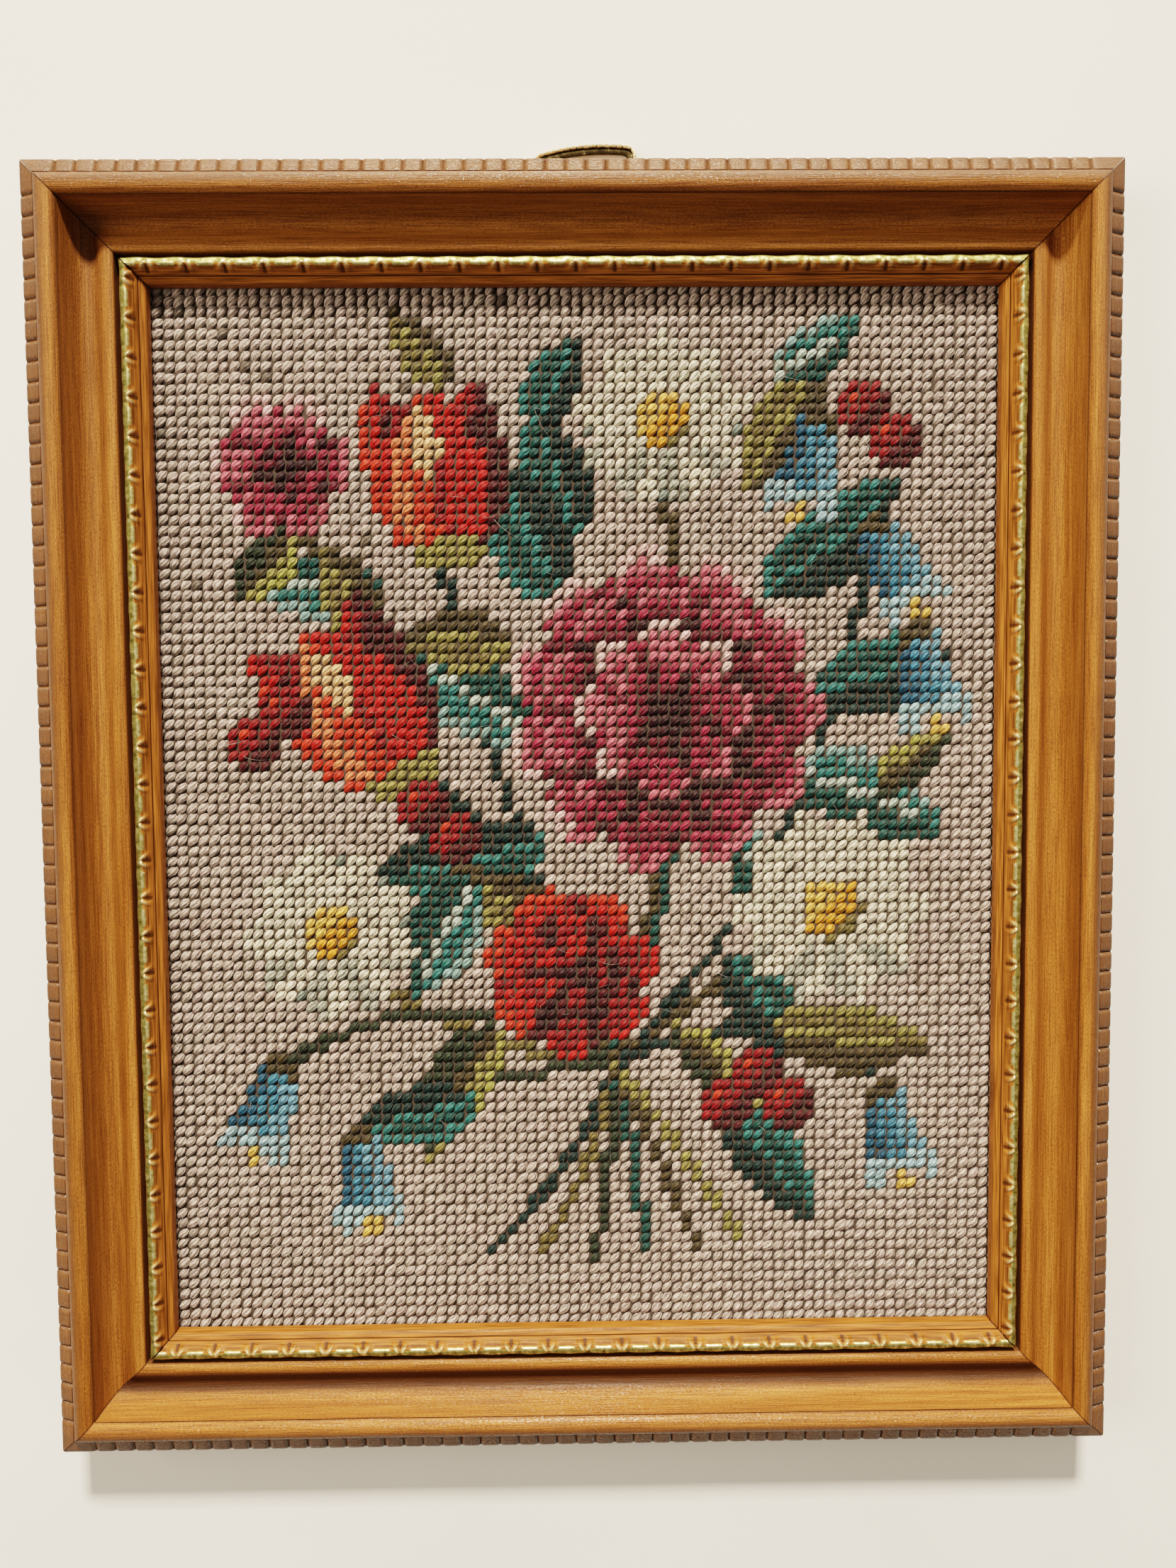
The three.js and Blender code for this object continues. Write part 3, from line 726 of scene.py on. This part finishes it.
# Each leaf: its foot, in stitches from the middle, the way it points, its length, width, wools and
# bend. Those that lie behind come first.
for x, y, turn, length, width, wools, bend in (
    (17, 21, 62, 17, 7.5, TEAL_LEAF, -3),
    (20, 4, 100, 16, 8, PALE_LEAF, 3),
    (-3, -2, -112, 17, 8, TEAL_LEAF, 3),
    (1, -12, -70, 15, 6, OLIVE_LEAF, 2),
    (14, -13, 150, 15, 7, TEAL_LEAF, -3),
    (-18, 20, -72, 13, 6, PALE_LEAF, -2),
    (-12, 40, -38, 9, 4.5, OLIVE_LEAF, 0),
    (0, 26, -16, 13, 6, TEAL_LEAF, -1),
    (16, 30, 22, 14, 6, OLIVE_LEAF, 2),
    (-8, -20, -140, 15, 6.5, GRASS_LEAF, -3),
    (8, -20, 128, 18, 5, GRASS_LEAF, 4),
    (28, 2, 52, 9, 4, GRASS_LEAF, 0),
    (-4, 8, -64, 16, 7.5, PALE_LEAF, 2),
    (-6, 16, -80, 11, 6, OLIVE_LEAF, -1),
    (-1, 20, -34, 15, 8, TEAL_LEAF, 2),
    (22, 12, 84, 14, 7.5, TEAL_LEAF, -2),
    (14, -2, 132, 14, 7, PALE_LEAF, 2),
    (18, -20, 106, 16, 7, OLIVE_LEAF, -2),
    (-10, -6, -146, 13, 7, PALE_LEAF, -1),
    (-19, 15, -28, 12, 5.5, OLIVE_LEAF, 1),
    (-4, 36, 20, 10, 5.5, TEAL_LEAF, 1),
    (18, 41, 66, 10, 5, PALE_LEAF, -1),
    (-10, -27, -112, 13, 6, TEAL_LEAF, 2),
    (14, -28, 140, 14, 6.5, TEAL_LEAF, 1),
    (-27, 27, -146, 9, 5, GRASS_LEAF, 1),
):
    leaf(x, y, turn, length, width, wools, bend)

BELLS = ((28, 27, 150), (32, 17, 165), (23, 37, 195), (-29, -24, 200), (-22, -31, 170), (29, -27, 165))
for x, y, turn in BELLS:
    bell(x, y, turn, 9, 8)
daisy(8, 37, 8.5, 9, 10)
daisy(24, -9, 9.5, 10, 0)
daisy(-24, -11, 8.5, 9, 24)
tulip(-16, 3, -34, 20, 13)
tulip(-12, 24, -8, 18, 12)
PINKS = ("blush", "pink", "rose", "burgundy", "claret")
REDS = ("vermilion", "red", "crimson", "maroon", "claret")
dahlia(8, 10, ((15.5, 11, 0, 0), (12, 10, 18, 1), (8.6, 8, 0, 0), (5.6, 6, 20, 1), (2.8, 4, 0, 3)), PINKS)
dahlia(-1, -15, ((8.5, 7, 10, 0), (6, 6, 30, 1), (3.4, 5, 0, 1)), REDS)
dahlia(-28, 33, ((6.8, 6, 0, 0), (4.4, 5, 30, 1), (2.2, 4, 0, 3)), PINKS)
BERRIES = ((-12, -2), (-15, 1), (17, -25), (20, -28), (14, -28), (27, 38), (30, 35), (-28, 10), (-31, 7))
for x, y in BERRIES:
    berry(x, y)
# A few dark stitches stray into the ground at the upper left.
stray = (chart == SHADE["ground"]) & (chance.random(chart.shape) < 0.006 * (UP > 10) * (ACROSS < 0))
work(stray, "speck")

# Wool stitches.
# Tent stitch over one crossing of the canvas: each is a short plump length of twisted tapestry
# wool that comes up at the lower left of its cell and goes down at the upper right.

RINGS = np.array([0.07, 0.28, 0.5, 0.72, 0.93])  # share of the stitch's length at each ring
AROUND = 6
LEAN, REACH = 0.46, 0.59  # half of a stitch's run across and up, as shares of the pitch
HALF_WIDE, HALF_TALL = 1.15, 0.8  # of the yarn, in mm
FOOT, ARCH = 3.35, 0.85  # height of a stitch's ends, and its rise between them, in mm


def stitch_points(first, last):
    """Closed ovals for rows first to last. A stitch's middle line runs slantwise across its cell and
    arches as sin(pi t) ^ 0.6; its section is an ellipse whose width grows as sin(pi t^1.2) ^ 0.55 and
    whose height as its root, so that it is fullest past the middle, and a point closes each end. Each
    has its own small shift, plumpness and lift."""
    col, r = (part[first:last].ravel() for part in (column, row))
    n = len(col)
    cx = (col - (COLUMNS - 1) / 2) * PITCH[0] + chance.normal(0, 0.1, n)
    cy = (r - (ROWS - 1) / 2) * PITCH[1] + chance.normal(0, 0.09, n)
    lean = LEAN * PITCH[0] * chance.normal(1, 0.12, n)
    reach = REACH * PITCH[1] * chance.normal(1, 0.05, n)
    plump = chance.normal(1, 0.06, n)
    lift = chance.normal(0, 0.06, n)
    t = np.concatenate([[0], RINGS, [1]])
    rise = np.sin(np.pi * t) ** 0.6
    mid_x = cx[:, None] + lean[:, None] * (2 * t - 1)
    mid_y = cy[:, None] + reach[:, None] * (2 * t - 1)
    mid_z = FOOT + ARCH * rise + (lift + canvas_rise(cx, cy))[:, None]
    slope = np.hypot(lean, reach)
    turn = np.pi + np.linspace(0, 2 * np.pi, AROUND, endpoint=False)
    full = np.clip(np.sin(np.pi * t**1.2), 0, 1)
    wide = HALF_WIDE * plump[:, None] * full**0.55
    tall = HALF_TALL * full**0.5
    side_x, side_y = reach / slope, -lean / slope
    out = wide[:, :, None] * np.sin(turn)
    points = np.stack(
        [
            mid_x[:, :, None] + out * side_x[:, None, None],
            mid_y[:, :, None] + out * side_y[:, None, None] + frame_y,
            mid_z[:, :, None] + tall[None, :, None] * np.cos(turn),
        ],
        -1,
    )
    ends = points[:, [0, -1], 0]
    return np.concatenate([points[:, 1:-1].reshape(n, -1, 3), ends], 1)


def stitch_faces():
    """Corner numbers of one stitch and their UV in mm, along the yarn and round it: quads between
    its rings, and fans to the two end points."""
    i, j = np.indices((len(RINGS) - 1, AROUND))
    corners = ((i, j), (i + 1, j), (i + 1, j + 1), (i, j + 1))
    quads = np.stack([a * AROUND + b % AROUND for a, b in corners], -1).reshape(-1, 4)
    quads_uv = np.stack([np.stack([RINGS[a] * 3, b * 0.85], -1) for a, b in corners], 2).reshape(-1, 2)
    j = np.arange(AROUND)
    last, foot = (len(RINGS) - 1) * AROUND, len(RINGS) * AROUND
    fans = [np.stack([j, (j + 1) % AROUND, j * 0 + foot], -1)]
    fans.append(np.stack([last + (j + 1) % AROUND, last + j, j * 0 + foot + 1], -1))
    across = np.stack([j, j + 1, j + 0.5], -1) * 0.85
    fans_uv = [np.stack([across * 0 + np.array((0.2, 0.2, 0)), across], -1)]
    fans_uv.append(np.stack([across * 0 + np.array((2.8, 2.8, 3)), across[:, [1, 0, 2]]], -1))
    return quads, np.vstack(fans), np.vstack([quads_uv, np.vstack(fans_uv).reshape(-1, 2)])


# Mothproofed tapestry wool of three plies: matt, the plies showing as faint furrows 0.7 mm apart,
# darkened as painted shade, that slant a little off the yarn, crossed by the drawn-out shine of its
# fibres, 0.3 mm apart, as painted highlights and dark strands, as coarse as they need to be to show.
PLY = 0.7
wool, tree = new_material("twisted_tapestry_wool")
place = add(tree, "UVMap", {"uv_map": "UVMap"})
dyed = add(tree, "Attribute", {"attribute_name": "wool"})
spun = add(tree, "Mapping", inputs={0: place.outputs[0], "Rotation": (0, 0, math.radians(-14))})
plies = add(
    tree,
    "TexWave",
    {"bands_direction": "Y"},
    {
        "Vector": spun.outputs[0],
        "Scale": 2 * math.pi / 20 / PLY,
        "Distortion": 3,
        "Detail": 3,
        "Detail Scale": 1.5,
    },
)
drawn = add(tree, "Mapping", inputs={0: spun.outputs[0], "Scale": (0.8, 3.4, 1)})
fibre = add(tree, "TexNoise", inputs={"Vector": drawn.outputs[0], "Scale": 1, "Detail": 4, "Roughness": 0.7})
# Painted shade in the furrows and painted highlights along the fibres, multiplied into the dye.
furrow = add(tree, "ValToRGB", inputs={0: plies.outputs["Fac"]}, stops=((0.0, "#6b645e"), (0.5, "#ffffff")))
strand = add(tree, "ValToRGB", inputs={0: fibre.outputs[0]}, stops=((0.38, "#3f3935"), (0.6, "#ffffff")))
furrowed = add(tree, "Mix", TINT, {0: 0.6, 6: dyed.outputs["Color"], 7: furrow.outputs[0]})
toned = add(tree, "Mix", TINT, {0: 0.8, 6: furrowed.outputs[2], 7: strand.outputs[0]})
twist = add(tree, "Bump", inputs={"Strength": 0.7, "Distance": 0.00025, "Height": plies.outputs["Fac"]})
relief = add(
    tree,
    "Bump",
    inputs={"Strength": 1, "Distance": 0.0003, "Height": fibre.outputs[0], "Normal": twist.outputs[0]},
)
shader = add(
    tree,
    "BsdfPrincipled",
    inputs={
        "Base Color": toned.outputs[2],
        "Roughness": 0.55,
        "Normal": relief.outputs[0],
        "Specular IOR Level": 0.35,
        "Sheen Weight": 0.06,
        "Sheen Roughness": 0.4,
    },
)
add(tree, "OutputMaterial", inputs={0: shader.outputs[0]})

dyes = np.array([linear(colour) for colour in WOOLS.values()])
quads, fans, corner_uv = stitch_faces()
per_stitch = len(RINGS) * AROUND + 2
bands = np.linspace(0, ROWS, 5).astype(int)
for band, (first, last) in enumerate(zip(bands[:-1], bands[1:]), 1):
    points = stitch_points(first, last)
    n = len(points)
    base = (np.arange(n) * per_stitch)[:, None, None]
    four, three = (quads + base).reshape(-1, 4), (fans + base).reshape(-1, 3)
    mesh = bpy.data.meshes.new("wool_stitches_%d" % band)
    mesh.from_pydata(points.reshape(-1, 3) * 0.001, [], four.tolist() + three.tolist())
    # Every yarn starts at its own place in the pattern, so that no two are alike.
    uv = corner_uv + (chance.random((n, 2)) * 40)[:, None]
    uv = np.vstack([uv[:, : quads.size].reshape(-1, 2), uv[:, quads.size :].reshape(-1, 2)])
    mesh.uv_layers.new(name="UVMap").uv.foreach_set("vector", uv.astype(np.float32).ravel())
    shade = dyes[chart[first:last].ravel()]
    shade[:, :3] *= chance.normal(1, 0.06, (n, 1)) * chance.normal(1, 0.012, (n, 3))
    layer = mesh.color_attributes.new("wool", "FLOAT_COLOR", "POINT")
    layer.data.foreach_set("color", np.repeat(shade, per_stitch, axis=0).astype(np.float32).ravel())
    mesh.shade_smooth()
    mesh.materials.append(wool)
    stitches = bpy.data.objects.new(mesh.name, mesh)
    bpy.context.scene.collection.objects.link(stitches)
    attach(stitches, "root")
    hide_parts("canvas_panel")

# Loose fibres.
# Stray ends of the wool, rubbed up from the stitches: single hairs and thin twists of a few.


def fibre_points(count, steps, sides):
    """Each hair rises from a stitch along a parabola, 4 t (1 - t) high, and turns sideways by
    t squared; the points round it taper as 1 - 0.8 t^3. Its length, turn and height are by chance."""
    col, r = chance.integers(1, COLUMNS - 1, count), chance.integers(1, ROWS - 1, count)
    x0, y0 = (col - (COLUMNS - 1) / 2) * PITCH[0], (r - (ROWS - 1) / 2) * PITCH[1]
    heading, length = chance.uniform(0, 2 * np.pi, count), chance.gamma(3, 1.1, count)
    curl, height = chance.normal(0, 0.45, count), chance.uniform(0.15, 0.8, count)
    t = np.linspace(0, 1, steps)
    ahead, off = length[:, None] * t, length[:, None] * curl[:, None] * t**2
    c, n = np.cos(heading)[:, None], np.sin(heading)[:, None]
    x, y = x0[:, None] + ahead * c - off * n, y0[:, None] + ahead * n + off * c
    root = FOOT + ARCH + HALF_TALL - 0.15  # just inside the crown of a stitch
    z = root + canvas_rise(x0, y0)[:, None] + height[:, None] * 4 * t * (1 - t)
    thick = chance.uniform(0.04, 0.07, count)[:, None] * (1 - 0.8 * t**3)
    turn = np.linspace(0, 2 * np.pi, sides, endpoint=False)
    beside, above = thick[..., None] * np.cos(turn), thick[..., None] * np.sin(turn)
    x, y = x[..., None] - beside * n[..., None], y[..., None] + beside * c[..., None] + frame_y
    return np.stack([x, y, z[..., None] + above], -1).reshape(count, -1, 3), chart[r, col]


count, steps, sides = 420, 7, 3
points, shades = fibre_points(count, steps, sides)
i, j = np.indices((steps - 1, sides))
after = (j + 1) % sides
corners = ((i, j), (i, after), (i + 1, after), (i + 1, j))
quads = np.stack([a * sides + b for a, b in corners], -1).reshape(-1, 4)
tip = (steps - 1) * sides
ends = np.array([[2, 1, 0], [tip, tip + 1, tip + 2]])
base = (np.arange(count) * steps * sides)[:, None, None]
four, three = (quads + base).reshape(-1, 4), (ends + base).reshape(-1, 3)
mesh = bpy.data.meshes.new("stray_fibres")
mesh.from_pydata(points.reshape(-1, 3) * 0.001, [], four.tolist() + three.tolist())
mesh.uv_layers.new(name="UVMap")
shade = dyes[shades]
# Part of this paleness is a painted highlight, for the light the fine hairs catch.
shade[:, :3] = 0.5 * shade[:, :3] + 0.42  # a single hair looks far paler than its yarn
layer = mesh.color_attributes.new("wool", "FLOAT_COLOR", "POINT")
layer.data.foreach_set("color", np.repeat(shade, steps * sides, axis=0).astype(np.float32).ravel())
mesh.shade_smooth()
mesh.materials.append(wool)
fibres = bpy.data.objects.new(mesh.name, mesh)
bpy.context.scene.collection.objects.link(fibres)
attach(fibres, "root")

# Hanging ring, strap and nail.
# The ring is cast brass: a flat band with a row of beads along its outer rim, arched at the top.
# Its foot is held by a folded sheet brass strap, nailed into the pocket in the top rail's back.

RING = {"width": 25, "height": 15.4, "band": 2.4, "arch": 54, "corner": 3}
SWING, ASIDE, ABOVE = 5.3, 3.2, 9.1  # degrees, mm right of the middle, and mm above the top rail
BEAD = 1.6  # mm from one bead to the next


def ring_outline(inset):
    """The ring's outline set in by a distance: a straight foot, two sides and a shallow arch, each
    pair joined by a quadratic curve, as one closed line that starts at the foot's left end."""
    half, top = RING["width"] / 2 - inset, RING["height"] - inset
    r, arch = max(RING["corner"] - inset, 1), RING["arch"] - inset
    shoulder = top - arch + math.sqrt(arch**2 - (half - r) ** 2)
    outline = [
        [(-half + r, inset)],
        bezier([(-half + r, inset), (half - r, inset)], 20),
        bezier([(half - r, inset), (half, inset), (half, inset + r)], 8),
        bezier([(half, inset + r), (half, shoulder - r)], 12),
        bezier([(half, shoulder - r), (half, shoulder - 0.3), (half - r, shoulder)], 8),
        bezier([(half - r, shoulder), (0, 2 * top - shoulder), (-half + r, shoulder)], 40),
        bezier([(-half + r, shoulder), (-half, shoulder - 0.3), (-half, shoulder - r)], 8),
        bezier([(-half, shoulder - r), (-half, inset + r)], 12),
        bezier([(-half, inset + r), (-half, inset), (-half + r, inset)], 8),
    ]
    return np.vstack(outline)


# Section of the band: distance in from its outer edge, height, and how much of a bead it carries.
band = np.array(
    [
        (0.15, 1.15, 0.7), (0, 1.6, 1), (0.06, 2.1, 1), (0.3, 2.45, 1), (0.58, 2.35, 1), (0.78, 2, 0.7),
        (0.95, 1.75, 0), (1.5, 1.7, 0), (2.05, 1.75, 0), (2.3, 1.6, 0), (2.4, 1.3, 0), (2.3, 1, 0),
        (2, 0.9, 0), (1.2, 0.9, 0), (0.5, 0.9, 0),
    ]
)
middle = ring_outline(RING["band"] / 2)
walked = np.concatenate([[0], np.cumsum(np.linalg.norm(np.diff(middle, axis=0), axis=1))])
beads = round(walked[-1] / BEAD)
wanted = np.arange(beads * 10) / (beads * 10) * walked[-1]
# Between two beads a cleft dips, 1 - |sin(pi times the beads passed)| ^ 0.6.
cleft = 1 - np.abs(np.sin(np.pi * wanted / walked[-1] * beads)) ** 0.6
dip = cleft[:, None] * band[:, 2]
# Two outlines of the band blended by the distance in, which the clefts between the beads increase.
outer, inner = (
    np.stack([np.interp(wanted, walked, line[:, k]) for k in (0, 1)], -1)[:, None]
    for line in (ring_outline(0), ring_outline(RING["band"]))
)
share = ((band[:, 0] + 0.28 * dip) / RING["band"])[..., None]
plan = (1 - share) * outer + share * inner - np.array((0, RING["band"] / 2))
swing = math.radians(SWING)
plan = plan @ np.array([[math.cos(swing), math.sin(swing)], [-math.sin(swing), math.cos(swing)]])
foot_at = ABOVE - (RING["height"] - RING["band"] / 2)
plan = plan + np.array((ASIDE, FRAME_SIZE[1] / 2 + foot_at + frame_y))
height = band[:, 1] - 0.3 * dip
# The grid runs round the ring against its section, so the section is turned to face outwards.
points = np.concatenate([plan, height[..., None]], -1)[:, ::-1]
uv = np.stack(np.meshgrid(girth(band[::-1, :2]), np.append(wanted, walked[-1])), -1)
# Wear and painted light: 1 on the beads, rubbed bright and given their painted highlight, 0 on the band,
# painted dark as its shade, and less in the clefts.
rubbed = np.tile(band[:, 2], (len(wanted), 1)) - 0.8 * dip
ring = lofted("hanger_ring_beaded", points, uv, closed=(True, True), rubbed=rubbed[:, ::-1])

# Cast brass, lacquer mostly gone: pale yellow on the rubbed beads, lightened further as their painted
# highlight, brown-green in the low parts and dark on the flat band, its painted shade, in blotches
# of 1.4 mm with pits of 0.3 mm. The plain strap and nail are of the same brass.
brass, tree = new_material("tarnished_cast_brass")
place = add(tree, "TexCoord")
rubbed = add(tree, "Attribute", {"attribute_name": "rubbed"})
blotch = add(
    tree,
    "TexNoise",
    inputs={"Vector": place.outputs["Object"], "Scale": 700, "Detail": 5, "Roughness": 0.65},
)
bright = add(
    tree,
    "Math",
    {"operation": "MULTIPLY_ADD"},
    {0: rubbed.outputs["Fac"], 1: 0.55, 2: blotch.outputs[0]},
)
pits = add(tree, "TexNoise", inputs={"Vector": place.outputs["Object"], "Scale": 3500, "Detail": 3})
colour = add(
    tree,
    "ValToRGB",
    inputs={0: bright.outputs[0]},
    stops=((0.3, "#1a150b"), (0.88, "#fff0bc"), (0.62, "#40341a")),
)
gloss = add(tree, "MapRange", inputs={0: bright.outputs[0], 1: 0.35, 2: 0.95, 3: 0.6, 4: 0.4})
metal = add(tree, "MapRange", inputs={0: bright.outputs[0], 1: 0.5, 2: 0.95, 3: 0.9, 4: 0.3})
relief = add(tree, "Bump", inputs={"Strength": 0.4, "Distance": 0.00008, "Height": pits.outputs[0]})
shader = add(
    tree,
    "BsdfPrincipled",
    inputs={
        "Base Color": colour.outputs[0],
        "Metallic": metal.outputs[0],
        "Roughness": gloss.outputs[0],
        "Normal": relief.outputs[0],
    },
)
add(tree, "OutputMaterial", inputs={0: shader.outputs[0]})
ring.data.materials.append(brass)
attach(ring, "root")
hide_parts("hanger_ring")
for name in ("hanger_strap", "hanger_nail"):
    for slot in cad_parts[name].material_slots:
        slot.material = brass
